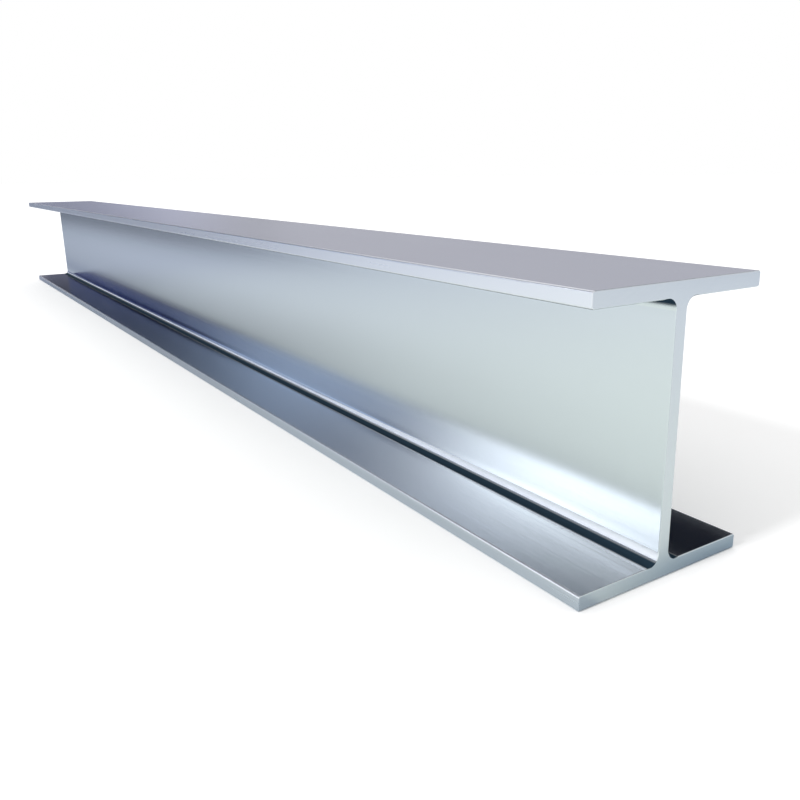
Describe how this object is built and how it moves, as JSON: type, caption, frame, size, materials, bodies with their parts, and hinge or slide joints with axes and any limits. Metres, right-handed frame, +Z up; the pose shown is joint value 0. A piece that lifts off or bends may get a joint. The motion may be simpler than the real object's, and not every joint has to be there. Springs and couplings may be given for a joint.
{
  "type": "steel i-beam",
  "caption": "Short length of rolled steel I-beam with wide parallel flanges, filleted roots and square sawn ends, bare mill-bright finish.",
  "frame": {"origin": "middle of the bottom flange's underside, at mid length, so the beam stands on z = 0", "axes": "+X along the beam, +Y across the flanges, +Z up through the web from the bottom flange to the top flange"},
  "size_m": [1.96, 0.15, 0.194],
  "materials": {
    "steel": "bare bright rolled steel, fine roll lines along the length, sawn ends"
  },
  "bodies": {
    "root": {"i_beam": "steel"}
  },
  "joints": []
}
